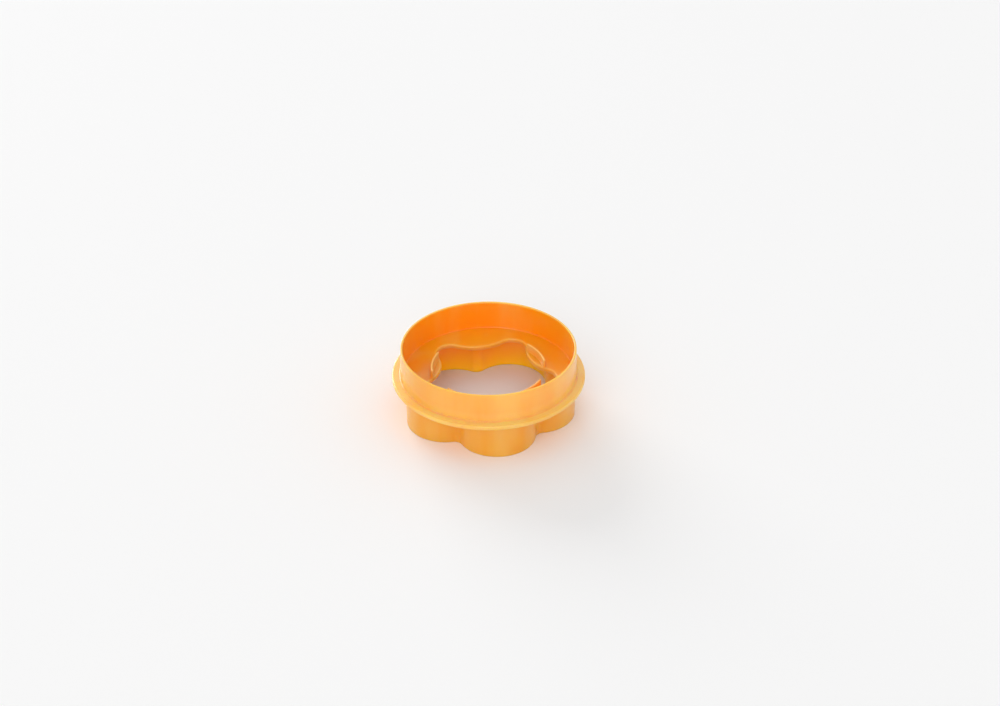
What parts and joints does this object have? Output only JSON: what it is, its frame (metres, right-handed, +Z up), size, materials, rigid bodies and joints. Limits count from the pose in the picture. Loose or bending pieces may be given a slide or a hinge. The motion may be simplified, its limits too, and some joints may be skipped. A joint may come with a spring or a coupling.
{
  "type": "tartlet dough cutter",
  "caption": "Double-sided dough cutter for tartlets: a round cutting wall above, a petal-shaped cutting skirt below and a flanged plate with a flower window between them.",
  "frame": {"origin": "on the cutter's axis, in the plane of the flower cutting edge that it stands on", "axes": "+Z up along the axis, from the flower edge to the round rim; -Y towards the front petal"},
  "size_m": [0.0994, 0.0994, 0.0374],
  "materials": {
    "orange_plastic": "glossy moulded polypropylene, slightly translucent, warm orange"
  },
  "bodies": {
    "root": {"flower_skirt": "orange_plastic", "window_plate": "orange_plastic", "round_wall": "orange_plastic", "window_rib_1": "orange_plastic", "window_rib_2": "orange_plastic", "window_rib_3": "orange_plastic", "window_rib_4": "orange_plastic"}
  },
  "joints": []
}
